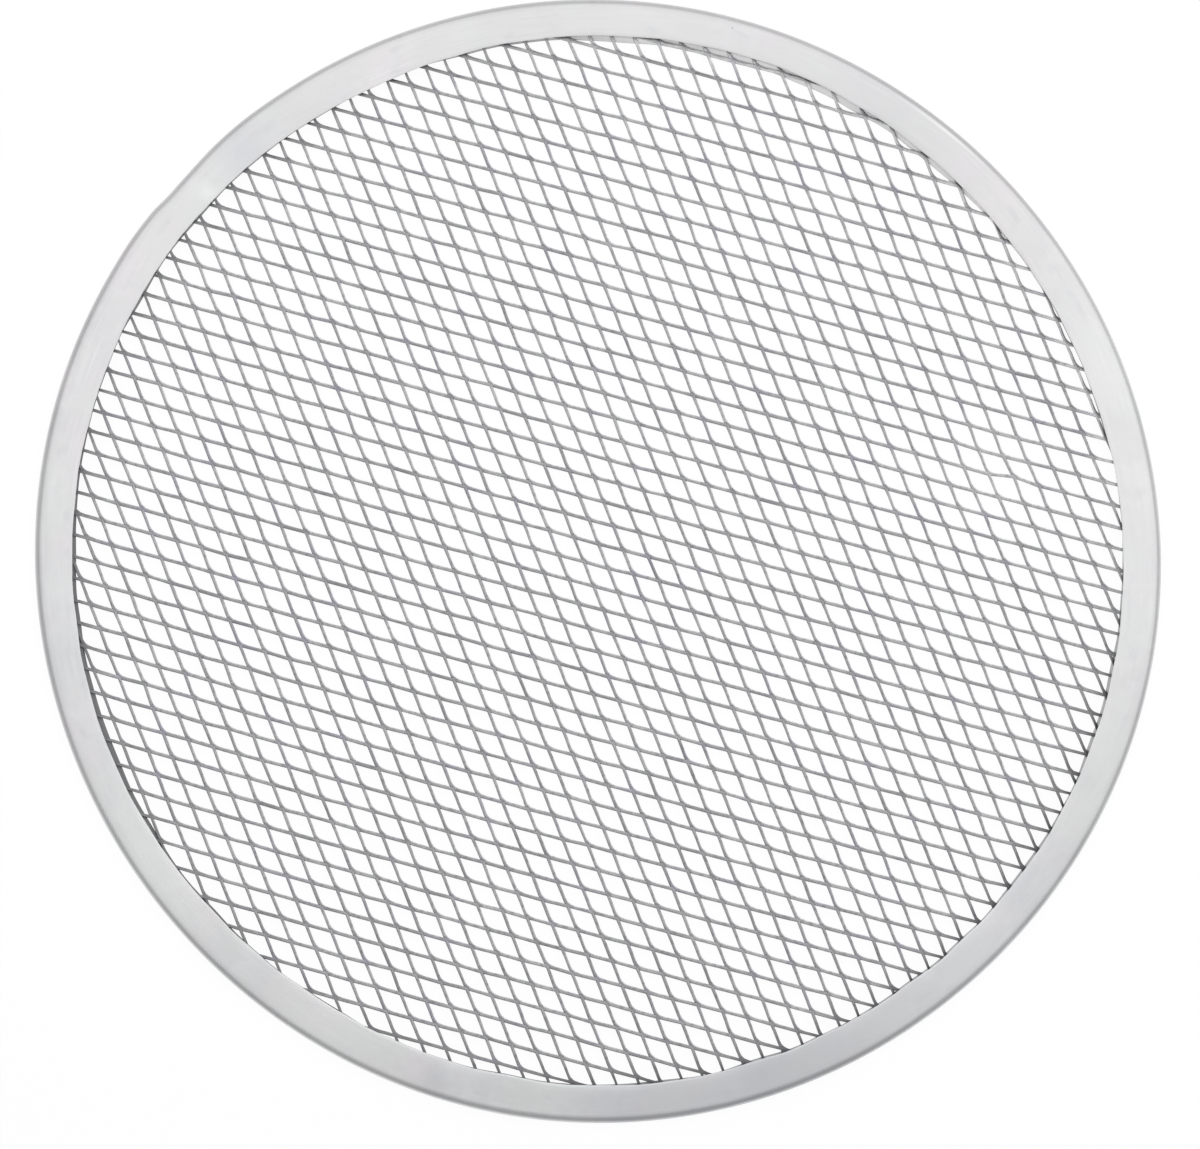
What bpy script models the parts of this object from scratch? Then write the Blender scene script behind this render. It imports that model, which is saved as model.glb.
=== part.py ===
"""Pizza screen: a disc of raised expanded aluminium, pinched in a folded aluminium rim.

Lengths are in metres and +Z is up. The origin is the middle of the face that the screen lies on.
"""
import math

import bmesh
import bpy
from mathutils import Vector

MM = 0.001

# The rim is one band, folded as a flat U over the edge of the mesh
SCREEN_DIAMETER = 305.0 * MM
BAND_THICKNESS = 0.6 * MM
UPPER_FLANGE = 10.3 * MM        # the fold included, as seen from above
LOWER_FLANGE = 11.0 * MM        # comes a little further in than the upper one
PINCH_GAP = 0.3 * MM            # clearance between the mesh and each flange

# The mesh is one sheet, slit and stretched into diamonds, and cut round
MESH_HEIGHT = 1.4 * MM          # from the underside of a strand to its crest
LONG_WAY = 12.5 * MM            # bond to bond, along the long diagonal of a diamond
SHORT_WAY = 6.3 * MM            # bond to bond, along the short diagonal
STRAND_WIDTH = 0.93 * MM
CREST_LEAN = 0.15 * MM          # the strands are tilted, so their crests lie off the middle
LONG_WAY_TURN = math.radians(-41.2)

# The diamonds are drawn this much larger than the real ones, in outline but not in height,
# so that the sheet stays a light solid. At 1 it has every diamond of the real sheet.
DIAMOND_SCALE = 1.45

# Facets
RIM_STEPS = 88                  # round the rim
FOLD_STEPS = 6                  # over the outside of the fold
CHANNEL_STEPS = 2               # round the inside of the fold
SMOOTH_BELOW = math.radians(40.0)

# A strand that would reach a missing bond just inside the cut edge ends at this share of its length
LAST_STRAND = 0.85

# Sizes that follow
OUTER_RADIUS = SCREEN_DIAMETER / 2
CHANNEL_HEIGHT = MESH_HEIGHT + 2 * PINCH_GAP
RIM_HEIGHT = CHANNEL_HEIGHT + 2 * BAND_THICKNESS
FOLD_CENTRE = OUTER_RADIUS - RIM_HEIGHT / 2     # radius at which the flanges turn into the fold
HALF_LONG = LONG_WAY * DIAMOND_SCALE / 2
HALF_SHORT = SHORT_WAY * DIAMOND_SCALE / 2
HALF_STRAND = STRAND_WIDTH * DIAMOND_SCALE / 2
LEAN = CREST_LEAN * DIAMOND_SCALE

# Bare metal finishes
ALUMINIUM_BAND = {"colour": (0.73, 0.73, 0.74), "roughness": 0.45}
ALUMINIUM_MESH = {"colour": (0.55, 0.55, 0.56), "roughness": 0.5}


def clear_scene():
    for item in list(bpy.data.objects):
        bpy.data.objects.remove(item, do_unlink=True)


def metal(name, colour, roughness):
    material = bpy.data.materials.new(name)
    material.use_nodes = True
    shader = material.node_tree.nodes["Principled BSDF"]
    shader.inputs["Base Color"].default_value = (*colour, 1.0)
    shader.inputs["Metallic"].default_value = 1.0
    shader.inputs["Roughness"].default_value = roughness
    return material


def add_object(name, bm, material, parent):
    """Turn the shape's faces outwards and put it in the scene as one named piece."""
    bmesh.ops.recalc_face_normals(bm, faces=bm.faces)
    mesh = bpy.data.meshes.new(name)
    bm.to_mesh(mesh)
    bm.free()
    mesh.materials.append(material)
    piece = bpy.data.objects.new(name, mesh)
    piece.parent = parent
    bpy.context.collection.objects.link(piece)
    return piece


def arc(centre, radius, start, end, steps):
    """Points of an arc in the plane of the rim's section, both ends included."""
    points = []
    for step in range(steps + 1):
        angle = start + (end - start) * step / steps
        points.append((centre[0] + radius * math.cos(angle), centre[1] + radius * math.sin(angle)))
    return points


def rim_profile():
    """The U of the folded band, as (radius, height): over the outside, then back through the channel."""
    fold = (FOLD_CENTRE, RIM_HEIGHT / 2)
    quarter = math.pi / 2
    outside = arc(fold, RIM_HEIGHT / 2, quarter, -quarter, FOLD_STEPS)
    channel = arc(fold, CHANNEL_HEIGHT / 2, -quarter, quarter, CHANNEL_STEPS)
    upper_edge = OUTER_RADIUS - UPPER_FLANGE
    lower_edge = OUTER_RADIUS - LOWER_FLANGE
    lower_lip = [(lower_edge, 0.0), (lower_edge, BAND_THICKNESS)]
    upper_lip = [(upper_edge, RIM_HEIGHT - BAND_THICKNESS), (upper_edge, RIM_HEIGHT)]
    return outside + lower_lip + channel + upper_lip


def build_rim(parent):
    """Turn the folded section once round the middle of the screen."""
    bm = bmesh.new()
    section = [bm.verts.new((radius, 0.0, height)) for radius, height in rim_profile()]
    outline = [bm.edges.new((section[index - 1], section[index])) for index in range(len(section))]
    bmesh.ops.spin(
        bm,
        geom=section + outline,
        cent=(0.0, 0.0, 0.0),
        axis=(0.0, 0.0, 1.0),
        angle=2 * math.pi,
        steps=RIM_STEPS,
        use_merge=True,
    )
    rim = add_object("rim", bm, metal("aluminium_band", **ALUMINIUM_BAND), parent)
    rim.data.shade_smooth()
    rim.data.set_sharp_from_angle(angle=SMOOTH_BELOW)
    return rim


def bond_tips():
    """How far a bond reaches along and across the long way: where the edges of its strands meet."""
    half_angle = math.atan2(HALF_SHORT, HALF_LONG)
    return HALF_STRAND / math.sin(half_angle), HALF_STRAND / math.cos(half_angle)


def bond_sites(limit):
    """Sites of the whole bonds within a radius: every other point of a grid of half diamonds."""
    columns = math.ceil(limit / HALF_LONG)
    rows = math.ceil(limit / HALF_SHORT)
    for column in range(-columns, columns + 1):
        for row in range(-rows, rows + 1):
            inside = math.hypot(column * HALF_LONG, row * HALF_SHORT) <= limit
            if inside and (column + row) % 2 == 0:
                yield column, row


def add_bond(bm, column, row):
    """One bond: four tips on the underside, keyed by direction, and the crest that leans over them."""
    centre = Vector((column * HALF_LONG, row * HALF_SHORT, 0.0))
    along, across = bond_tips()
    offsets = {
        (1, 0): Vector((along, 0.0, 0.0)),
        (0, 1): Vector((0.0, across, 0.0)),
        (-1, 0): Vector((-along, 0.0, 0.0)),
        (0, -1): Vector((0.0, -across, 0.0)),
    }
    bond = {key: bm.verts.new(centre + offset) for key, offset in offsets.items()}
    bm.faces.new(list(bond.values()))
    bond["crest"] = bm.verts.new(centre + Vector((0.0, -LEAN, MESH_HEIGHT)))
    return bond


def cut_edge_share(start, step, sheet_radius):
    """How much of a step, taken from a point inside the sheet, reaches its round cut edge."""
    start, step = start.to_2d(), step.to_2d()
    run = start.dot(step)
    room = sheet_radius ** 2 - start.length_squared
    return (math.sqrt(run ** 2 + step.length_squared * room) - run) / step.length_squared


def add_strand(bm, near, far):
    """A three-sided strand between two sections, each given as one edge, the crest and the other edge."""
    for first, second in ((0, 1), (1, 2), (2, 0)):
        bm.faces.new((near[first], near[second], far[second], far[first]))


def add_cut_strand(bm, near, step, sheet_radius):
    """A strand that ends at the round edge of the sheet."""
    far = []
    for vertex in near:
        share = min(cut_edge_share(vertex.co, step, sheet_radius), LAST_STRAND)
        far.append(bm.verts.new(vertex.co + step * share))
    add_strand(bm, near, far)
    bm.faces.new(far)


def build_mesh_disc(parent):
    """Bonds on a lattice of diamonds, each joined to four others, with the outer strands cut off round."""
    bm = bmesh.new()
    along, _ = bond_tips()
    # The outermost bonds are whole, and stay a strand's width inside the cut edge
    last_bond = FOLD_CENTRE - along - 2 * HALF_STRAND
    bonds = {site: add_bond(bm, *site) for site in bond_sites(last_bond)}
    for (column, row), bond in bonds.items():
        for right in (1, -1):
            for up in (1, -1):
                near = [bond[(right, 0)], bond["crest"], bond[(0, up)]]
                neighbour = bonds.get((column + right, row + up))
                if neighbour is None:
                    step = Vector((right * HALF_LONG, up * HALF_SHORT, 0.0))
                    add_cut_strand(bm, near, step, FOLD_CENTRE)
                elif right > 0:
                    far = [neighbour[(0, -up)], neighbour["crest"], neighbour[(-right, 0)]]
                    add_strand(bm, near, far)
    disc = add_object("mesh_disc", bm, metal("aluminium_mesh", **ALUMINIUM_MESH), parent)
    disc.location.z = BAND_THICKNESS + PINCH_GAP
    disc.rotation_euler.z = LONG_WAY_TURN
    return disc


def build_screen():
    clear_scene()
    screen = bpy.data.objects.new("pizza_screen", None)
    bpy.context.collection.objects.link(screen)
    build_rim(screen)
    build_mesh_disc(screen)


build_screen()
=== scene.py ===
"""Pizza screen, seen from straight above on a white sweep.

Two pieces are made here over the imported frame: the folded aluminium rim with its slightly
uneven outline, and the raised expanded mesh with every diamond of the real sheet.
Lengths in the constants are in millimetres unless a comment says metres. Angles are in degrees,
counted anticlockwise from +X.
"""
import math
import random
from typing import NamedTuple

import bpy
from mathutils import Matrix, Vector


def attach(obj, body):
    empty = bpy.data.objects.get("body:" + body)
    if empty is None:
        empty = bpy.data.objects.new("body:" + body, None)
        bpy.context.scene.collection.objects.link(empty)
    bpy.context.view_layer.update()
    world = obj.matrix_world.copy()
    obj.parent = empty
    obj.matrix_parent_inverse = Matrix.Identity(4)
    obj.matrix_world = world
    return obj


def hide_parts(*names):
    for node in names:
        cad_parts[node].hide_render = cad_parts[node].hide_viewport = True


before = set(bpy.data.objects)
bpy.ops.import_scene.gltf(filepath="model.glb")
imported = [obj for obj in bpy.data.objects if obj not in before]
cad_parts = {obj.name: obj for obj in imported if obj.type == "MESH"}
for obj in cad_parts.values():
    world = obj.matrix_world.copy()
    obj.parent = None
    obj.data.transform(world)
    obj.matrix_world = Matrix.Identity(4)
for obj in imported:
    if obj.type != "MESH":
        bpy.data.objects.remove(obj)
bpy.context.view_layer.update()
MM = 0.001

# Photograph and camera
PHOTO_SIZE = (1200, 1149)           # pixels
DISC_CENTRE_PX = (597.52, 560.52)   # middle of the rim's outline in the photograph
MM_PER_PIXEL = 0.27057
LENS = 200.0
SENSOR = 36.0
CLIP_NEAR, CLIP_FAR = 0.05, 50.0    # metres

# Light, in metres
SKY_LEVEL = 0.51                    # a dim sky
SKY_SLOPE = (0.02, 0.12, -0.06)     # a little brighter beyond the top of the picture than overhead
SKY_COLOUR = (0.985, 0.99, 1.0)
SOFTBOX_PLACE = (0.12, 0.23, 0.50)
SOFTBOX_SIZE = (1.22, 0.84)
SOFTBOX_WATTS = 2.34

# Floor
FLOOR_HALF = 6.0                    # metres
FLOOR_DROP = 0.2                    # below the screen, so that their faces don't coincide
FLOOR_COLOUR = (0.8, 0.8, 0.8)
FLOOR_GLOW = 1.05
FLOOR_GLOW_SHARE = 0.88             # the rest is lit, and keeps the shadow

# Rim. A lobe is waves round the rim, size and the angle of a peak; a hump is size, middle and width.
RIM_HEIGHT = 3.2
BAND = 0.6                          # thickness of the folded strip
OUTER_MEAN = 152.17
OUTER_LOBES = ((2, 0.80, -39), (3, 0.23, 19), (4, 0.19, -11))
OUTER_SHIFT = (-0.116, 0.168)       # puts the uneven outline in the middle of the frame's box
DENT_DEPTH = 0.62                   # a knock in the fold at the upper left
DENT_MIDDLE, DENT_HALF = 137.8, 3.0
DENT_IN, DENT_OUT = 1.2, 0.4        # going anticlockwise, it sinks in softly and comes out sharply
DENT_SHOULDERS = ((0.18, 145.5, 3.5), (0.15, 129.0, 3.5))   # the fold stands out on both sides of it
STEP_END = 60.0                     # where a smooth step is taken as over, before exp() overflows
INNER_MEAN = 141.92
INNER_LOBES = ((1, 0.16, 55), (2, 0.71, -38), (3, 0.19, -57), (4, 0.27, -10), (5, 0.21, -8), (6, 0.16, 24))
INNER_HUMPS = (
    (-0.33, 260.0, 3.0),
    (0.18, 170.0, 5.0),
    (-0.18, 118.0, 4.0),
    (0.20, 101.0, 4.0),
    (-0.20, 82.0, 7.0),
    (0.22, 67.5, 3.5),
    (0.25, 8.0, 6.0),
)
# How far the lower flange shows inside the upper one: everywhere, then local humps
LOWER_SHOWS = 0.10
LOWER_HUMPS = (
    (1.40, 85.0, 11.0),
    (1.55, 66.0, 12.0),
    (0.75, 50.0, 9.0),
    (0.60, -16.0, 6.0),
    (0.22, -38.0, 13.0),
    (0.60, 181.0, 8.0),
    (1.05, 200.0, 14.0),
    (0.22, 142.0, 8.0),
    (-0.35, 246.0, 13.0),
    (-0.32, 118.0, 14.0),
    (-0.25, 20.0, 13.0),
)
# Plan width of the rounded fold: broad along the bottom, tight along the top
FOLD_DEPTH = 1.75
FOLD_HUMPS = ((0.2, 278.0, 38.0), (-0.4, 75.0, 70.0))
SHOULDER_WIDTH = 4.0                # the face bends down over this much of its outer side
SHOULDER_BEND = 0.10                # by this slope for each millimetre
SHOULDER_FADE = (275.0, 90.0)       # except round this angle, over this width
# The pressed lip along the inner edge: its drop everywhere, then where it was pressed harder
LIP_DROP = 0.07
LIP_HUMPS = ((0.10, 62.0, 50.0),)
LIP_POWER = 8                       # how soon the drop dies out across the face
LIP_UNDER = 0.25                    # the share of it left on the underside, half way to the fold
# Cut edges of the band, as insets from the edge and heights: at the lip from the face that meets it,
# at the lower flange from the table
LIP_TOP = ((0.02, -0.16), (0.07, -0.04), (0.22, 0.0))
LIP_BOTTOM = ((0.15, 0.0), (0.02, 0.1))
LOWER_EDGE = ((0.2, 0.0), (0.03, 0.08), (0.0, BAND / 2), (0.03, BAND - 0.08), (0.2, BAND))
# Where the section has points across the face, and its steps over the fold and in the channel
FACE_SHARES = (0.05, 0.1, 0.16, 0.24, 0.35, 0.5, 0.65, 0.76, 0.86, 0.94)
FOLD_STEPS = 14
CHANNEL_STEPS = 6
RIM_STEPS = 720
RIM_CREASE = 50.0                   # edges sharper than this aren't smoothed over

# Mesh
SHEET_SEED = 11                     # of all its random scatter
SHEET = 0.6                         # thickness of the metal
TILT = 36.0                         # every strand and bond leans this much about the long way
FLATTENED = 0.78                    # the share of the lean that the rim's pinch takes away
FLAT_FROM, FLAT_TO = 134.5, 142.0
HALF_SHALLOW = 0.385                # half the width of a rolled face, on the shallow strands, along u
HALF_STEEP = 0.334                  # and on the steep ones, along v
WIDTH_SPREAD = 0.08
ROLLOVER = 0.24                     # plan width of the rounded edge on the upper right of a strand
ROLLOVER_DROP = 0.14
CROWN_SHARE = 0.62                  # where the rounded edge begins at the end of a bond
MESH_MIDDLE = 1.66                  # height above the table
LEVEL_SPREAD = 0.02
STRAND_RISE = 0.27                  # a strand climbs twice this, from one bond to the next
RISE_SPREAD = 0.10
SECTION_MARKS = (1.30, 2.20, 4.50)  # along a strand, from its low end
STEEP_SWAY = 0.05                   # of the steep strands from side to side
SHALLOW_SHIFT = 0.03                # of the shallow strands towards the upper right
FILLET = 3.8                        # radius in the obtuse corner on the upper right of each bond
FILLET_REACH = 1.9                  # where it starts, from the corner
FILLET_CORNER = 0.26                # the corner's place along a strand, from the middle of the bond
BOND_FILLET = 0.5                   # how much of the reach belongs to the bond
LAST_BOND = 149.0                   # no bond lies further out,
CUT_EDGE = 150.2                    # and no section of a strand
MESH_CREASE = 30.0
# Lattice: place of bond (0, 0), the steps to the next ones, and how many steps pass the rim
ORIGIN = (2.94, -2.03)
STEP_U = (6.717, -1.741)
STEP_V = (2.672, -6.569)
LATTICE_REACH = 34
BOND_JITTER = 0.07
# How the stretched sheet strays from an even lattice: the most of each stray at 150 mm from the middle
WARP_REACH = 150.0
WARP_ROUNDS = 3                     # a bond strays by the warp at the place where it ends up
FAN, FAN_EASE = -2.7, 1.8           # along x: the diamonds close up towards the top, less so at its end
SPREAD, EDGE_PULL = 0.55, -0.4
ARCH, SAG = 0.5, -0.9               # along y: rows arch from side to side, and bunch at top and bottom
TWIST, TWIST_EASE = -1.0, 1.4
CURL, SIDE_CURL = -1.5, -0.65
# A kink in the sheet at the right: its middle, radius and shift, and one bond bent further
KINK_PLACE = (106.0, 26.0)
KINK_RADIUS = 11.0
KINK_SHIFT = (-0.25, -0.40)
BENT_BOND = (20, -9)
BENT_SHIFT = (0.20, 1.05)
# Tones of the metal: those of strands spread by 1 round 0, and more is darker. Painted shade and highlights
# are added to them at the kink and at the corners of the bonds
KINK_HIGHLIGHT = -2.5                    # a painted highlight where the metal is bent
BOND_TONE = 1.9
BOND_TONE_SPREAD = 0.4
CORNER_SHADE = 1.9                   # painted shade, added in the acute corners of a bond, where the slits end
FILLET_HIGHLIGHT = -5.5                  # a painted highlight, added at its rounded corner


class Patches(NamedTuple):
    """A colour laid on where a noise is high. Scales and stretches are per metre."""
    colour: tuple
    strength: float
    fade: tuple                     # levels of the noise between which the colour comes in
    scale: float = 1.0
    stretch: tuple = (1.0, 1.0, 1.0)
    detail: float = 3.0
    roughness: float = 0.5


# Rim finish. A side is an angle, with levels from 1 at the mesh's edge there to -1 across from it.
RIM_BASE = (0.696, 0.700, 0.714)
CLOUD = Patches((0.781, 0.781, 0.788), 1.0, (0.36, 0.64), scale=70.0, detail=4.0, roughness=0.6)
MOTTLE = Patches((0.70, 0.70, 0.705), 0.35, (0.42, 0.58), scale=300.0)
WARM_TARNISH = Patches((0.760, 0.722, 0.740), 0.6, (0.45, 0.60), scale=52.0, detail=4.0, roughness=0.6)
COOL_TARNISH = Patches((0.712, 0.742, 0.722), 0.6, (0.45, 0.60), scale=41.0, detail=4.0, roughness=0.6)
SMEAR = Patches((0.62, 0.63, 0.655), 0.45, (0.58, 0.74), stretch=(120.0, 260.0, 1.0))
SCRATCH = Patches((0.84, 0.84, 0.845), 0.5, (0.70, 0.78), stretch=(28.0, 1500.0, 1.0), detail=1.0)
LIT_WARM_SIDE = 80.0                    # painted light: the rim is a touch warmer and lighter here, towards the top, and cooler and darker across from it
LIT_WARM_COLOUR, LIT_WARM_STRENGTH = (0.765, 0.735, 0.735), 0.33
# Patches on the rim, partly its own mottle and partly painted light and shade: darker along the bottom,
# bright by the dent. Middle in x and y, radius, strength, colour
RIM_PATCHES_AND_LIGHT = (
    ((-105.4, 99.7), 3.2, 0.40, (0.92, 0.92, 0.92)),
    ((-108.5, 101.5), 4.0, 0.30, (0.88, 0.88, 0.88)),
    ((-94.5, 110.5), 12.0, 0.50, (0.58, 0.60, 0.64)),
    ((113.0, -85.1), 11.0, 0.45, (0.61, 0.65, 0.67)),
    ((6.0, -147.0), 20.0, 0.45, (0.60, 0.61, 0.64)),
    ((45.0, -139.0), 60.0, 0.80, (0.60, 0.61, 0.63)),
    ((-22.0, 145.0), 32.0, 0.50, (0.66, 0.66, 0.66)),
    ((147.0, 0.0), 32.0, 0.35, (0.85, 0.85, 0.85)),
    ((82.0, 122.0), 46.0, 0.62, (0.65, 0.65, 0.66)),
    ((-82.0, 122.0), 30.0, 0.45, (0.65, 0.65, 0.66)),
    ((-145.0, -26.0), 22.0, 0.45, (0.65, 0.65, 0.67)),
    ((35.0, 148.0), 42.0, 0.30, (0.65, 0.65, 0.66)),
    ((140.0, 51.0), 32.0, 0.40, (0.86, 0.86, 0.86)),
    ((-122.0, -86.0), 42.0, 0.40, (0.84, 0.84, 0.83)),
    ((-73.0, -127.0), 34.0, 0.50, (0.84, 0.84, 0.84)),
    ((103.0, -108.0), 26.0, 0.50, (0.715, 0.745, 0.750)),
    ((-44.0, -140.0), 5.0, 0.40, (0.60, 0.61, 0.64)),
)
# A painted highlight, the reflection along the start of the fold at the upper right: its radius, half its
# width solid and faded
FOLD_HIGHLIGHT_RADIUS = 149.7
FOLD_HIGHLIGHT_HALF = (0.1, 0.6)
FOLD_HIGHLIGHT_MIDDLE, FOLD_HIGHLIGHT_REACH = (94.0, 116.5), 19.0
FOLD_HIGHLIGHT_COLOUR, FOLD_HIGHLIGHT_STRENGTH = (0.93, 0.93, 0.93), 0.7
# Specks in a random pattern, about this many to the metre, solid and faded as shares of the spacing
SPECK_SCALE = 55.0
SPECK_SIZE = (0.010, 0.022)
SPECK_COLOUR, SPECK_STRENGTH = (0.38, 0.37, 0.38), 0.6
# Painted shade in the channel under the upper flange: off the table, below the mesh's middle and not up in
# the fold
CHANNEL_SHADE_COLOUR = (0.10, 0.10, 0.105)
CHANNEL_SHADE_LOW, CHANNEL_SHADE_HIGH = (0.3, 0.5), (1.2, 1.6)
CHANNEL_SHADE_END = (145.5, 146.5)
CHANNEL_LIT_SIDE, CHANNEL_LIT = 60.0, (0.78, 0.90)
CHANNEL_DARK_SIDE, CHANNEL_DARK_LEVELS, CHANNEL_DARK = 205.0, (0.0, 0.8), (0.45, 0.85)
RIM_ROUGHNESS = (0.40, 0.50)
RIM_GRAIN_STRETCH = (60.0, 2600.0, 1.0)
RIM_GRAIN_DEPTH = 0.04

# Mesh finish
MESH_SHADED = 0.54                    # painted shade of the mesh at the lower left, and painted light at the upper right
MESH_LIT = 0.78
MESH_BLUE = 1.01                    # its blue, against its red and green
# the side towards which the mesh is painted lighter
LIT_SIDE = 66.0
DARK_TONE, DARK_STRENGTH, DARK_COLOUR = 3.3, 0.58, (0.22, 0.22, 0.235)
LIGHT_TONE, LIGHT_STRENGTH, LIGHT_COLOUR = -5.0, 0.60, (0.85, 0.85, 0.85)
TINT = Patches((0.46, 0.44, 0.54), 0.5, (0.56, 0.70), scale=120.0, detail=2.0)
GRIME = Patches((0.27, 0.27, 0.275), 0.6, (0.50, 0.72), scale=800.0, detail=2.0)
GRIME_ON_LIT = 0.5               # the share of the grime that is left where the mesh is painted lightest
# Painted shade, with some grime, where the strands run under the rim, but hardly any at the upper right
EDGE_SHADE_COLOUR = (0.095, 0.095, 0.10)
EDGE_SHADE_RADII = (134.0, 142.0)
EDGE_LIT_SIDE, EDGE_LIT, EDGE_LIT_SHARE = 48.0, (0.45, 0.85), 0.18
EDGE_DARK_SIDE, EDGE_DARK = -50.0, (0.78, 0.96)
MESH_GRAIN_DEPTH = 0.05
# Grain of both metals: the levels of the noise that set the roughness, and how strong the bump is
GRAIN_LEVELS = (0.3, 0.7)
GRAIN_STRENGTH = 0.3


def lobes(terms, angle):
    return sum(size * math.cos(count * (angle - math.radians(peak))) for count, size, peak in terms)


def bump(angle, middle, width):
    """A smooth hump round one angle, 1 at its middle."""
    gap = (angle - math.radians(middle) + math.pi) % (2 * math.pi) - math.pi
    return math.exp(-((gap / math.radians(width)) ** 2))


def humps(terms, angle):
    return sum(size * bump(angle, middle, width) for size, middle, width in terms)


def ripple(seed, first, last, size):
    """A smooth random function of angle, made of whole waves round the rim."""
    rng = random.Random(seed)
    waves = [(count, rng.gauss(0, 1), rng.uniform(0, 2 * math.pi)) for count in range(first, last + 1)]
    norm = size / math.sqrt(sum(height * height for _, height, _ in waves) / 2)

    def height_at(angle):
        return norm * sum(height * math.cos(count * angle + phase) for count, height, phase in waves)

    return height_at


# The rim's section, angle by angle
inner_ripple = ripple(seed=3, first=14, last=60, size=0.07)
lower_ripple = ripple(seed=4, first=5, last=40, size=0.12)
lip_ripple = ripple(seed=5, first=5, last=40, size=0.02)


def step_up(value):
    """0 well below zero, 1 well above it."""
    return 1 / (1 + math.exp(-min(max(value, -STEP_END), STEP_END)))


def dent(angle):
    """How deep the knock in the fold is."""
    gap = (math.degrees(angle) - DENT_MIDDLE + 180) % 360 - 180
    return DENT_DEPTH * step_up((gap + DENT_HALF) / DENT_IN) * step_up((DENT_HALF - gap) / DENT_OUT)


def outer_radius(angle):
    return OUTER_MEAN + lobes(OUTER_LOBES, angle) - dent(angle) + humps(DENT_SHOULDERS, angle)


def upper_edge(angle):
    return INNER_MEAN + lobes(INNER_LOBES, angle) + humps(INNER_HUMPS, angle) + inner_ripple(angle)


def lower_edge(angle):
    return upper_edge(angle) - LOWER_SHOWS - humps(LOWER_HUMPS, angle) + lower_ripple(angle)


def rim_section(angle):
    """Closed outline of the band at one angle, as (radius, height)."""
    outer, inner, lower = outer_radius(angle), upper_edge(angle), lower_edge(angle)
    depth = FOLD_DEPTH + humps(FOLD_HUMPS, angle)
    fold_start = outer - depth
    middle = RIM_HEIGHT / 2
    bend = SHOULDER_BEND * (1 - bump(angle, *SHOULDER_FADE))
    press = LIP_DROP + humps(LIP_HUMPS, angle) + lip_ripple(angle)
    pressed = RIM_HEIGHT - press
    face_start = inner + LIP_TOP[-1][0]

    def shoulder_drop(radius):
        return bend * max(0.0, radius - outer + SHOULDER_WIDTH) ** 2 / 2

    def fold_point(rise, inset):
        """A point of the fold, at an angle above level, or of the channel where the inset is BAND."""
        radius = fold_start + (depth - inset) * math.cos(rise)
        drop = shoulder_drop(radius) if rise > 0 else 0.0
        return radius, middle + (middle - inset - drop) * math.sin(rise)

    points = [(inner + inset, pressed + height) for inset, height in LIP_TOP]
    for share in FACE_SHARES:
        radius = face_start + (fold_start - face_start) * share
        lip_drop = press * (1 - share) ** LIP_POWER
        points.append((radius, RIM_HEIGHT - lip_drop - shoulder_drop(radius)))
    for step in range(FOLD_STEPS + 1):
        points.append(fold_point(math.pi / 2 - math.pi * step / FOLD_STEPS, 0.0))
    points.append(((fold_start + lower) / 2, 0.0))
    points += [(lower + inset, height) for inset, height in LOWER_EDGE]
    points.append(((fold_start + lower) / 2, BAND))
    for step in range(CHANNEL_STEPS + 1):
        points.append(fold_point(math.pi * step / CHANNEL_STEPS - math.pi / 2, BAND))
    points.append(((fold_start + inner) / 2, RIM_HEIGHT - press * LIP_UNDER - BAND))
    points += [(inner + inset, pressed - BAND + height) for inset, height in LIP_BOTTOM]
    return points


def finish_piece(name, mesh, materials, node, crease):
    """Put a mesh in the scene as the piece that stands for a node of the frame."""
    for material in materials:
        mesh.materials.append(material)
    mesh.shade_smooth()
    mesh.set_sharp_from_angle(angle=math.radians(crease))
    piece = bpy.data.objects.new(name, mesh)
    bpy.context.scene.collection.objects.link(piece)
    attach(piece, "root")
    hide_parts(node)
    return piece


def rim_ring(angle):
    """The section at one angle, in its place, in metres."""
    ring = []
    for radius, height in rim_section(angle):
        x = radius * math.cos(angle) + OUTER_SHIFT[0]
        y = radius * math.sin(angle) + OUTER_SHIFT[1]
        ring.append((x * MM, y * MM, height * MM))
    return ring


def build_rim(material):
    """Rings of the section, joined all round, with a map that runs along the band and across it."""
    rings = [rim_ring(2 * math.pi * step / RIM_STEPS) for step in range(RIM_STEPS)]
    count = len(rings[0])
    around = 2 * math.pi * OUTER_MEAN * MM / RIM_STEPS
    across = [0.0]
    for near, far in zip(rings[0], rings[0][1:] + rings[0][:1]):
        across.append(across[-1] + (Vector(far) - Vector(near)).length)
    faces = []
    corners = []
    for step in range(RIM_STEPS):
        here, there = step * count, (step + 1) % RIM_STEPS * count
        left, right = step * around, (step + 1) * around
        for index in range(count):
            after = (index + 1) % count
            low, high = across[index], across[index + 1]
            faces.append((here + index, here + after, there + after, there + index))
            corners += [(left, low), (left, high), (right, high), (right, low)]
    mesh = bpy.data.meshes.new("rim_band")
    mesh.from_pydata([point for ring in rings for point in ring], [], faces)
    layer = mesh.uv_layers.new(name="band")
    for loop, corner in zip(layer.data, corners):
        loop.uv = corner
    mesh.update()
    return finish_piece("rim_band", mesh, [material], "rim", RIM_CREASE)


# The expanded mesh
def kink(place):
    """1 in the middle of the kink, fading to 0 round it."""
    return math.exp(-((place - Vector(KINK_PLACE)).length / KINK_RADIUS) ** 2)


def warp(place):
    """How far the sheet at a place has strayed from an even lattice."""
    x, y = place / WARP_REACH
    along = x * y * (FAN + SPREAD * y + FAN_EASE * y ** 2) + EDGE_PULL * (x ** 2 + y ** 2) ** 2
    across = ARCH * x ** 2 + SAG * y ** 2 + x * y * (TWIST + CURL * x + TWIST_EASE * y ** 2)
    across += SIDE_CURL * x ** 3
    return Vector((along, across))


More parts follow.
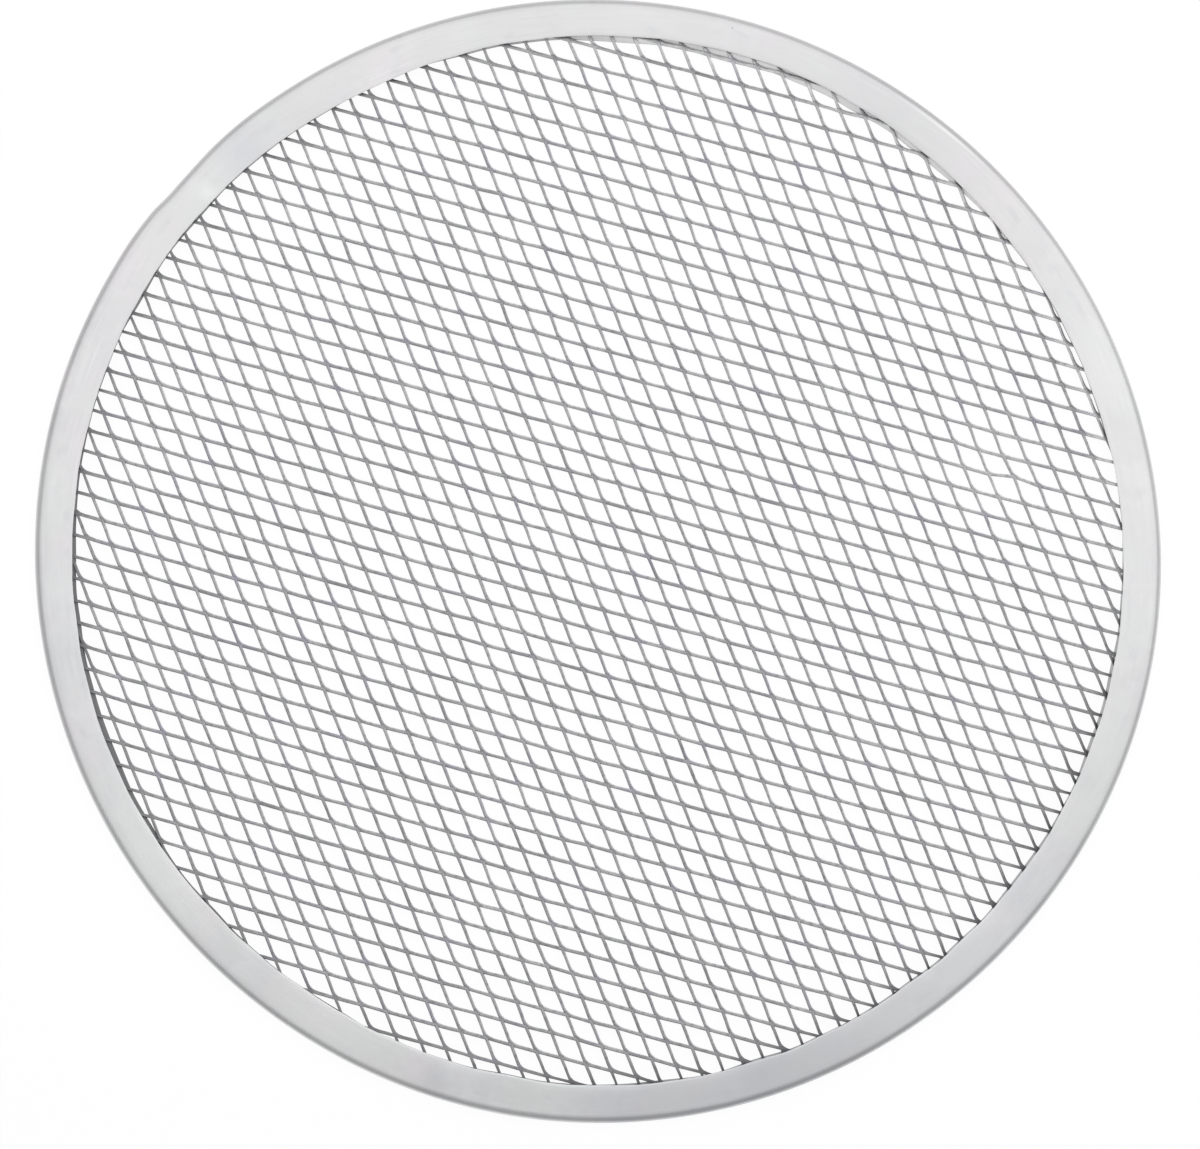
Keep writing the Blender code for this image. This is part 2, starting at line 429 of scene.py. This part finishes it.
def lattice_point(u, v):
    """Place of a bond, in millimetres."""
    straight = Vector(ORIGIN) + Vector(STEP_U) * u + Vector(STEP_V) * v
    place = straight
    for _ in range(WARP_ROUNDS):
        place = straight + warp(place)
    place += Vector(KINK_SHIFT) * kink(place)
    if (u, v) == BENT_BOND:
        place += Vector(BENT_SHIFT)
    return place + Vector(OUTER_SHIFT)


def left_of(direction):
    return Vector((-direction.y, direction.x))


def pinch(place):
    """0 over most of the disc, rising to FLATTENED where the rim holds the mesh."""
    share = (place.length - FLAT_FROM) / (FLAT_TO - FLAT_FROM)
    return FLATTENED * min(max(share, 0.0), 1.0)


def tilt_at(place):
    return math.radians(TILT) * (1 - pinch(place))


# Kinds of face, in the order of the mesh's materials
ROLLED, SHEARED, ROUNDED = 0, 1, 2


class MeshSheet:
    """Collects the sheet's vertices and faces, with the tone of the metal at each vertex, painted light and
    shade among it.

    A section of a strand has five points: the rounded edge on its upper right, the crown where the
    rounding begins, the high edge on its lower left, and the two edges of the underside.
    """

    def __init__(self):
        self.rng = random.Random(SHEET_SEED)
        self.vertices = []
        self.faces = []
        self.kinds = []
        self.tones = []
        self.tone = 0.0
        self.sites = {}
        self.bonds = {}

    def add_point(self, place, height):
        self.vertices.append((place.x, place.y, height))
        self.tones.append(self.tone)
        return len(self.vertices) - 1

    def add_under(self, place, height, lean, tilt):
        """The point of the underside below a point of the upper face, through the leaning sheet."""
        return self.add_point(place - lean * SHEET * math.sin(tilt), height - SHEET * math.cos(tilt))

    def add_face(self, indices, kind):
        self.faces.append(tuple(indices))
        self.kinds.append(kind)

    def add_section(self, middle, level, lean, half, fill):
        """A section across a strand: half its width on one side, as much and the fillet on the other."""
        tilt = tilt_at(middle)
        slope = math.tan(tilt)
        centre = middle + lean * (SHEET * math.sin(tilt) / 2)
        right = half * math.cos(tilt)
        left = right + fill
        crown = left - ROLLOVER
        edge_place, high_place = centre + lean * left, centre - lean * right
        return (
            self.add_point(edge_place, level - slope * left - ROLLOVER_DROP),
            self.add_point(centre + lean * crown, level - slope * crown),
            self.add_point(high_place, level + slope * right),
            self.add_under(high_place, level + slope * right, lean, tilt),
            self.add_under(edge_place, level - slope * left, lean, tilt),
        )

    def link(self, near, far):
        """The five faces between two sections: rounded, rolled, sheared, underside, sheared."""
        for index, kind in enumerate((ROUNDED, ROLLED, SHEARED, ROLLED, SHEARED)):
            after = (index + 1) % len(near)
            self.add_face((near[index], near[after], far[after], far[index]), kind)


def corner_between(centre, first, half_first, second, half_second):
    """Where the left edge of one strand meets the right edge of the next one anticlockwise."""
    normal_a = left_of(first)
    normal_b = -left_of(second)
    # the point that lies half_first along normal_a and half_second along normal_b
    cross = normal_a.x * normal_b.y - normal_a.y * normal_b.x
    x = (half_first * normal_b.y - half_second * normal_a.y) / cross
    y = (normal_a.x * half_second - normal_b.x * half_first) / cross
    return centre + Vector((x, y))


def fillet_height(distance):
    """How far the fillet stands out from a strand's edge, at a distance from the corner."""
    short = max(0.0, FILLET_REACH - distance)
    return FILLET - math.sqrt(FILLET ** 2 - short ** 2)


def bond_directions(sheet, key):
    """Unit vectors from a bond along its four strands, and to the upper right between two of them."""
    u, v = key
    place = sheet.sites[key]
    neighbours = ((u + 1, v), (u, v + 1), (u - 1, v), (u, v - 1), (u + 1, v - 1))
    return [(sheet.sites[site] - place).normalized() for site in neighbours]


def bond_corners(centre, directions, tilt):
    """Corners of a bond by name: n is the rounded one on the upper right, with an end on each strand."""
    plus_u, plus_v, minus_u, minus_v, north = directions
    shallow, steep = HALF_SHALLOW * math.cos(tilt), HALF_STEEP * math.cos(tilt)
    corner = {
        "n": corner_between(centre, plus_u, shallow, minus_v, steep),
        "w": corner_between(centre, minus_v, steep, minus_u, shallow),
        "s": corner_between(centre, minus_u, shallow, plus_v, steep),
        "e": corner_between(centre, plus_v, steep, plus_u, shallow),
    }
    fill = fillet_height(BOND_FILLET)
    depth = math.hypot(FILLET, FILLET_REACH) - FILLET
    corner["n_u"] = corner["n"] + plus_u * BOND_FILLET + left_of(plus_u) * fill
    corner["n_v"] = corner["n"] + minus_v * BOND_FILLET - left_of(minus_v) * fill
    corner["n"] = corner["n"] + north * depth
    return corner


def crown_points(corner, north):
    """Where the rounded edges begin: the line inside the rounded corner, and a point at each strand."""
    return {
        "u": corner["e"].lerp(corner["n_u"], CROWN_SHARE),
        "n": corner["n"] - north * ROLLOVER,
        "v": corner["w"].lerp(corner["n_v"], CROWN_SHARE),
        "w": corner["s"].lerp(corner["w"], CROWN_SHARE),
        "e": corner["s"].lerp(corner["e"], CROWN_SHARE),
    }


def add_bond(sheet, key):
    """A bond: its corners on both faces, its top, and the four ends for its strands."""
    place = sheet.sites[key]
    directions = bond_directions(sheet, key)
    north = directions[-1]
    tilt = tilt_at(place)
    centre = place + north * (SHEET * math.sin(tilt) / 2)
    corner = bond_corners(centre, directions, tilt)
    level = MESH_MIDDLE + sheet.rng.gauss(0, LEVEL_SPREAD)

    def height(point):
        return level - math.tan(tilt) * (point - centre).dot(north)

    # the bond's tone, with the kink's painted highlight
    plain = BOND_TONE + KINK_HIGHLIGHT * kink(place) + sheet.rng.gauss(0, BOND_TONE_SPREAD)
    # painted shade in the acute corners, and a painted highlight at the rounded one
    painted_corner_tone = {"e": CORNER_SHADE, "w": CORNER_SHADE, "s": 0.0}
    fillet_highlight_tone = FILLET_HIGHLIGHT + sheet.rng.gauss(0, 1)
    painted_corner_tone.update({name: fillet_highlight_tone for name in ("n", "n_u", "n_v")})
    edge = {}
    under = {}
    for name, point in corner.items():
        sheet.tone = plain + painted_corner_tone[name]
        drop = ROLLOVER_DROP if name.startswith("n") else 0.0
        edge[name] = sheet.add_point(point, height(point) - drop)
        under[name] = sheet.add_under(point, height(point), north, tilt)
    sheet.tone = plain
    ridge = {}
    for name, point in crown_points(corner, north).items():
        ridge[name] = sheet.add_point(point, height(point))
    sheet.add_face((edge["n_u"], edge["n"], ridge["n"], ridge["u"]), ROUNDED)
    sheet.add_face((edge["n"], edge["n_v"], ridge["v"], ridge["n"]), ROUNDED)
    # the flat top, in parts that have no three corners on one line
    sheet.add_face((ridge["e"], edge["e"], ridge["u"], ridge["n"]), ROLLED)
    sheet.add_face((edge["s"], ridge["e"], ridge["n"]), ROLLED)
    sheet.add_face((ridge["w"], edge["s"], ridge["n"]), ROLLED)
    sheet.add_face((edge["w"], ridge["w"], ridge["n"], ridge["v"]), ROLLED)
    sheet.add_face([under[name] for name in ("e", "s", "w", "n_v", "n", "n_u")], ROLLED)
    for near, far in (("n_u", "n"), ("n", "n_v")):
        sheet.add_face((edge[near], under[near], under[far], edge[far]), SHEARED)
    # the four ends that the strands grow from
    sheet.bonds[key] = {
        "out_u": (edge["n_u"], ridge["u"], edge["e"], under["e"], under["n_u"]),
        "out_v": (edge["e"], ridge["e"], edge["s"], under["s"], under["e"]),
        "in_u": (edge["w"], ridge["w"], edge["s"], under["s"], under["w"]),
        "in_v": (edge["n_v"], ridge["v"], edge["w"], under["w"], under["n_v"]),
    }


def add_strand(sheet, key, axis):
    """A strand from one bond to the next. Its left side is the one that leans to the upper right."""
    shallow = axis == "u"
    other = (key[0] + 1, key[1]) if shallow else (key[0], key[1] + 1)
    near_bond = sheet.bonds.get(key)
    far_bond = sheet.bonds.get(other)
    if near_bond is None and far_bond is None:
        return
    start, end = sheet.sites[key], sheet.sites[other]
    length = (end - start).length
    direction = (end - start) / length
    lean = left_of(direction)
    half = (HALF_SHALLOW if shallow else HALF_STEEP) * (1 + sheet.rng.gauss(0, WIDTH_SPREAD))
    rise = STRAND_RISE * (1 + sheet.rng.gauss(0, RISE_SPREAD))
    # the strand's own random tone, with the kink's painted highlight
    sheet.tone = KINK_HIGHLIGHT * kink(start) + sheet.rng.gauss(0, 1)
    marks = SECTION_MARKS if shallow else tuple(length - mark for mark in reversed(SECTION_MARKS))
    chain = []
    if near_bond is not None:
        chain.append(near_bond["out_" + axis])
    for mark in marks:
        place = start + direction * mark
        if place.length > CUT_EDGE:
            continue
        swing = math.cos(math.pi * mark / length)
        climb = (-swing if shallow else swing) * rise * (1 - pinch(place))
        sway = SHALLOW_SHIFT if shallow else STEEP_SWAY * swing
        fill = fillet_height((mark if shallow else length - mark) - FILLET_CORNER)
        chain.append(sheet.add_section(place + lean * sway, MESH_MIDDLE + climb, lean, half, fill))
    if far_bond is not None:
        chain.append(far_bond["in_" + axis])
    for near, far in zip(chain, chain[1:]):
        sheet.link(near, far)
    if near_bond is None:
        sheet.add_face(reversed(chain[0]), SHEARED)
    if far_bond is None:
        sheet.add_face(chain[-1], SHEARED)


def build_mesh(materials):
    """Lay out the lattice, make the bonds inside the rim, and join them with strands."""
    sheet = MeshSheet()
    for u in range(-LATTICE_REACH, LATTICE_REACH + 1):
        for v in range(-LATTICE_REACH, LATTICE_REACH + 1):
            jitter = Vector((sheet.rng.gauss(0, BOND_JITTER), sheet.rng.gauss(0, BOND_JITTER)))
            sheet.sites[(u, v)] = lattice_point(u, v) + jitter
    keys = [key for key in sheet.sites if max(map(abs, key)) < LATTICE_REACH]
    for key in keys:
        if sheet.sites[key].length < LAST_BOND:
            add_bond(sheet, key)
    for key in keys:
        add_strand(sheet, key, "u")
        add_strand(sheet, key, "v")
    mesh = bpy.data.meshes.new("mesh_sheet")
    mesh.from_pydata([(x * MM, y * MM, z * MM) for x, y, z in sheet.vertices], [], sheet.faces)
    mesh.polygons.foreach_set("material_index", sheet.kinds)
    tone = mesh.attributes.new("tone", "FLOAT", "POINT")
    tone.data.foreach_set("value", sheet.tones)
    mesh.update()
    return finish_piece("mesh_sheet", mesh, materials, "mesh_disc", MESH_CREASE)


# Materials
# The mix node's colour sockets, by number, because other sockets of it have the same names
MIX_FIRST, MIX_SECOND, MIX_RESULT = 6, 7, 2


class Graph:
    """Adds nodes to a node tree. An input is a number, a vector, a colour or a node's output."""

    def __init__(self, tree):
        self.nodes, self.links = tree.nodes, tree.links

    def feed(self, socket, value):
        if isinstance(value, bpy.types.NodeSocket):
            self.links.new(value, socket)
        elif socket.type == "RGBA":
            socket.default_value = (*value, 1.0)
        else:
            socket.default_value = value

    def add(self, kind, inputs, **settings):
        node = self.nodes.new("ShaderNode" + kind)
        for name, value in settings.items():
            setattr(node, name, value)
        for key, value in inputs.items():
            self.feed(node.inputs[key], value)
        return node

    def number_math(self, operation, *values):
        return self.add("Math", dict(enumerate(values)), operation=operation).outputs["Value"]

    def vector_math(self, operation, *values):
        return self.add("VectorMath", dict(enumerate(values)), operation=operation).outputs["Value"]

    def multiply(self, product, *factors):
        for factor in factors:
            product = self.number_math("MULTIPLY", product, factor)
        return product

    def remap(self, source, levels, shares):
        """Shares of 0 to 1 for the levels of a source, even between the two and flat beyond them."""
        inputs = {
            "Value": source,
            "From Min": levels[0],
            "From Max": levels[1],
            "To Min": shares[0],
            "To Max": shares[1],
        }
        return self.add("MapRange", inputs).outputs["Result"]

    def mix(self, share, first, second):
        inputs = {"Factor": share, MIX_FIRST: first, MIX_SECOND: second}
        return self.add("Mix", inputs, data_type="RGBA").outputs[MIX_RESULT]

    def stretched(self, source, scale):
        return self.add("Mapping", {"Vector": source, "Scale": scale}).outputs["Vector"]

    def noise(self, source, scale, detail, roughness=0.5):
        inputs = {"Vector": source, "Scale": scale, "Detail": detail, "Roughness": roughness}
        return self.add("TexNoise", inputs).outputs["Fac"]


class Metal(Graph):
    """A bare metal, painted layer by layer from its base colour."""

    def __init__(self, name, base):
        self.material = bpy.data.materials.new(name)
        self.material.use_nodes = True
        super().__init__(self.material.node_tree)
        self.shader = self.nodes["Principled BSDF"]
        self.shader.inputs["Metallic"].default_value = 1.0
        self.place = self.add("TexCoord", {}).outputs["Object"]
        self.colour = base

    def paint(self, share, colour):
        self.colour = self.mix(share, self.colour, colour)

    def patches(self, source, layer):
        """Where the patches of a layer lie, up to its strength."""
        source = self.stretched(source, layer.stretch)
        noise = self.noise(source, layer.scale, layer.detail, layer.roughness)
        return self.remap(noise, layer.fade, (0.0, layer.strength))

    def spot(self, middle, radius):
        """A soft round patch on the rim's upper face: 1 in its middle, 0 from its radius outwards."""
        place = (middle[0] * MM, middle[1] * MM, RIM_HEIGHT * MM)
        return self.remap(self.vector_math("DISTANCE", self.place, place), (0.0, radius * MM), (1.0, 0.0))

    def from_middle(self):
        """Distance from the middle of the disc, seen from above."""
        return self.vector_math("LENGTH", self.stretched(self.place, (1.0, 1.0, 0.0)))

    def facing(self, degrees):
        """1 at the mesh's edge in one direction from the middle, falling with the cosine round the disc."""
        angle = math.radians(degrees)
        reach = INNER_MEAN * MM
        direction = (math.cos(angle) / reach, math.sin(angle) / reach, 0.0)
        return self.vector_math("DOT_PRODUCT", self.place, direction)

    def finish(self, grain, roughness, depth):
        """Join up the colour, and let the grain set the roughness and a fine bump."""
        self.feed(self.shader.inputs["Base Color"], self.colour)
        self.feed(self.shader.inputs["Roughness"], self.remap(grain, GRAIN_LEVELS, roughness))
        relief = self.add("Bump", {"Strength": GRAIN_STRENGTH, "Distance": depth * MM, "Height": grain})
        self.feed(self.shader.inputs["Normal"], relief.outputs["Normal"])
        return self.material


def metres(pair):
    return pair[0] * MM, pair[1] * MM


def channel_shade(metal):
    """Painted shade in the rim's channel, darkest at the left, and none along the top and upper right."""
    height = metal.add("SeparateXYZ", {"Vector": metal.place}).outputs["Z"]
    return metal.multiply(
        metal.remap(height, metres(CHANNEL_SHADE_HIGH), (1.0, 0.0)),
        metal.remap(height, metres(CHANNEL_SHADE_LOW), (0.0, 1.0)),
        metal.remap(metal.from_middle(), metres(CHANNEL_SHADE_END), (1.0, 0.0)),
        metal.remap(metal.facing(CHANNEL_LIT_SIDE), CHANNEL_LIT, (1.0, 0.0)),
        metal.remap(metal.facing(CHANNEL_DARK_SIDE), CHANNEL_DARK_LEVELS, CHANNEL_DARK),
    )


def rim_material():
    """Rolled aluminium strip: cloudy, with marks along the band, spots that are partly painted light and
    shade, a painted highlight along the fold, painted shade in the channel, and a few specks.
    """
    metal = Metal("rolled_band", RIM_BASE)
    band = metal.add("UVMap", {}, uv_map="band").outputs["UV"]
    for layer in (CLOUD, MOTTLE, WARM_TARNISH, COOL_TARNISH):
        metal.paint(metal.patches(metal.place, layer), layer.colour)
    # painted light: warmer and lighter towards the top, cooler and darker towards the bottom
    metal.paint(metal.remap(metal.facing(LIT_WARM_SIDE), (-1.0, 1.0), (0.0, LIT_WARM_STRENGTH)), LIT_WARM_COLOUR)
    for layer in (SMEAR, SCRATCH):
        metal.paint(metal.patches(band, layer), layer.colour)
    # patches, partly mottle, partly painted shade along the bottom and a painted highlight by the dent
    for middle, radius, strength, colour in RIM_PATCHES_AND_LIGHT:
        metal.paint(metal.multiply(metal.spot(middle, radius), strength), colour)
    # painted highlight: a bright line along the start of the fold at the upper right
    off_highlight = metal.number_math("SUBTRACT", metal.from_middle(), FOLD_HIGHLIGHT_RADIUS * MM)
    line = metal.remap(metal.number_math("ABSOLUTE", off_highlight), metres(FOLD_HIGHLIGHT_HALF), (FOLD_HIGHLIGHT_STRENGTH, 0.0))
    metal.paint(metal.multiply(line, metal.spot(FOLD_HIGHLIGHT_MIDDLE, FOLD_HIGHLIGHT_REACH)), FOLD_HIGHLIGHT_COLOUR)
    speck = metal.add("TexVoronoi", {"Vector": metal.place, "Scale": SPECK_SCALE}).outputs["Distance"]
    metal.paint(metal.remap(speck, SPECK_SIZE, (SPECK_STRENGTH, 0.0)), SPECK_COLOUR)
    # painted shade in the channel under the upper flange
    metal.paint(channel_shade(metal), CHANNEL_SHADE_COLOUR)
    grain = metal.noise(metal.stretched(band, RIM_GRAIN_STRETCH), scale=1.0, detail=4.0)
    return metal.finish(grain, RIM_ROUGHNESS, RIM_GRAIN_DEPTH)


def edge_shade(metal):
    """Painted shade, with some grime, where the strands run under the rim."""
    return metal.multiply(
        metal.remap(metal.from_middle(), metres(EDGE_SHADE_RADII), (0.0, 1.0)),
        metal.remap(metal.facing(EDGE_LIT_SIDE), EDGE_LIT, (1.0, EDGE_LIT_SHARE)),
        metal.remap(metal.facing(EDGE_DARK_SIDE), (-1.0, 1.0), EDGE_DARK),
    )


def mesh_material(name, shade, roughness, grain_scale):
    """Bare mesh metal, of one shade for each kind of face, the sheared ones partly painted shade and the
    rounded ones a painted highlight.

    It is painted darker towards the lower left and lighter towards the upper right, as light falls, and
    differs strand by strand.
    """
    shaded_level, lit_level = MESH_SHADED * shade, MESH_LIT * shade
    metal = Metal(name, (shaded_level, shaded_level, shaded_level * MESH_BLUE))
    # painted light: lighter towards the upper right, darker towards the lower left
    painted_light = metal.remap(metal.facing(LIT_SIDE), (-1.0, 1.0), (0.0, 1.0))
    metal.paint(painted_light, (lit_level, lit_level, lit_level * MESH_BLUE))
    tone = metal.add("Attribute", {}, attribute_name="tone").outputs["Fac"]
    # tones: random strand by strand, with painted shade in bond corners and painted highlights at the
    # rounded corners and the kink
    metal.paint(metal.remap(tone, (0.0, DARK_TONE), (0.0, DARK_STRENGTH)), DARK_COLOUR)
    metal.paint(metal.remap(tone, (LIGHT_TONE, 0.0), (LIGHT_STRENGTH, 0.0)), LIGHT_COLOUR)
    metal.paint(metal.patches(metal.place, TINT), tuple(level * shade for level in TINT.colour))
    kept = metal.remap(painted_light, (0.0, 1.0), (1.0, GRIME_ON_LIT))
    metal.paint(metal.multiply(metal.patches(metal.place, GRIME), kept), GRIME.colour)
    # painted shade, with some grime, under the rim's flange
    metal.paint(edge_shade(metal), EDGE_SHADE_COLOUR)
    grain = metal.noise(metal.place, grain_scale, detail=3.0)
    return metal.finish(grain, roughness, MESH_GRAIN_DEPTH)


def floor_material():
    """White to the camera and in reflections, with a share of real diffuse light that keeps the shadow."""
    material = bpy.data.materials.new("white_sweep")
    material.use_nodes = True
    graph = Graph(material.node_tree)
    graph.nodes.clear()
    path = graph.add("LightPath", {}).outputs
    seen = path["Is Camera Ray"]
    for ray in ("Is Glossy Ray", "Is Transmission Ray"):
        seen = graph.number_math("MAXIMUM", seen, path[ray])
    lit = graph.add("BsdfDiffuse", {"Color": FLOOR_COLOUR}).outputs["BSDF"]
    glow = graph.add("Emission", {"Strength": FLOOR_GLOW}).outputs["Emission"]
    white = graph.add("MixShader", {"Fac": FLOOR_GLOW_SHARE, 1: lit, 2: glow}).outputs["Shader"]
    surface = graph.add("MixShader", {"Fac": seen, 1: lit, 2: white}).outputs["Shader"]
    graph.add("OutputMaterial", {"Surface": surface})
    return material


# Stage, light and camera
def build_floor():
    near, far = -FLOOR_HALF, FLOOR_HALF
    mesh = bpy.data.meshes.new("floor")
    corners = [(near, near, 0.0), (far, near, 0.0), (far, far, 0.0), (near, far, 0.0)]
    mesh.from_pydata(corners, [], [(0, 1, 2, 3)])
    mesh.materials.append(floor_material())
    floor = bpy.data.objects.new("floor", mesh)
    floor.location.z = -FLOOR_DROP * MM
    bpy.context.scene.collection.objects.link(floor)


def build_world():
    world = bpy.data.worlds.new("studio")
    bpy.context.scene.world = world
    world.use_nodes = True
    graph = Graph(world.node_tree)
    background = graph.nodes["Background"]
    towards = graph.add("TexCoord", {}).outputs["Generated"]
    slope = graph.vector_math("DOT_PRODUCT", towards, SKY_SLOPE)
    graph.feed(background.inputs["Strength"], graph.number_math("ADD", slope, SKY_LEVEL))
    graph.feed(background.inputs["Color"], SKY_COLOUR)


def build_lamp(name, place, size, watts):
    light = bpy.data.lights.new(name, "AREA")
    light.shape = "RECTANGLE"
    light.size, light.size_y = size
    light.energy = watts
    lamp = bpy.data.objects.new(name, light)
    lamp.location = place
    lamp.visible_camera = False
    bpy.context.scene.collection.objects.link(lamp)


def build_camera():
    """Straight above, so far up that the picture's width is the photograph's at the rim's upper face."""
    width = PHOTO_SIZE[0] * MM_PER_PIXEL * MM
    data = bpy.data.cameras.new("camera")
    data.lens = LENS
    data.sensor_width = SENSOR
    data.clip_start = CLIP_NEAR
    data.clip_end = CLIP_FAR
    camera = bpy.data.objects.new("camera", data)
    off_x = (PHOTO_SIZE[0] / 2 - DISC_CENTRE_PX[0]) * MM_PER_PIXEL
    off_y = -(PHOTO_SIZE[1] / 2 - DISC_CENTRE_PX[1]) * MM_PER_PIXEL
    camera.location = (
        (off_x + OUTER_SHIFT[0]) * MM,
        (off_y + OUTER_SHIFT[1]) * MM,
        width * LENS / SENSOR + RIM_HEIGHT * MM,
    )
    bpy.context.scene.collection.objects.link(camera)
    bpy.context.scene.camera = camera


build_rim(rim_material())
build_mesh([
    # sheared faces partly darker torn metal and partly painted shade; rounded edges painted lighter as a
    # highlight
    mesh_material("mesh_rolled", shade=0.95, roughness=(0.38, 0.50), grain_scale=900.0),
    mesh_material("mesh_sheared", shade=0.80, roughness=(0.50, 0.65), grain_scale=1500.0),
    mesh_material("mesh_rounded_highlight", shade=1.40, roughness=(0.45, 0.55), grain_scale=900.0),
])
build_floor()
build_world()
build_lamp("key_softbox", SOFTBOX_PLACE, SOFTBOX_SIZE, SOFTBOX_WATTS)
build_camera()
bpy.context.scene.view_settings.view_transform = "Standard"
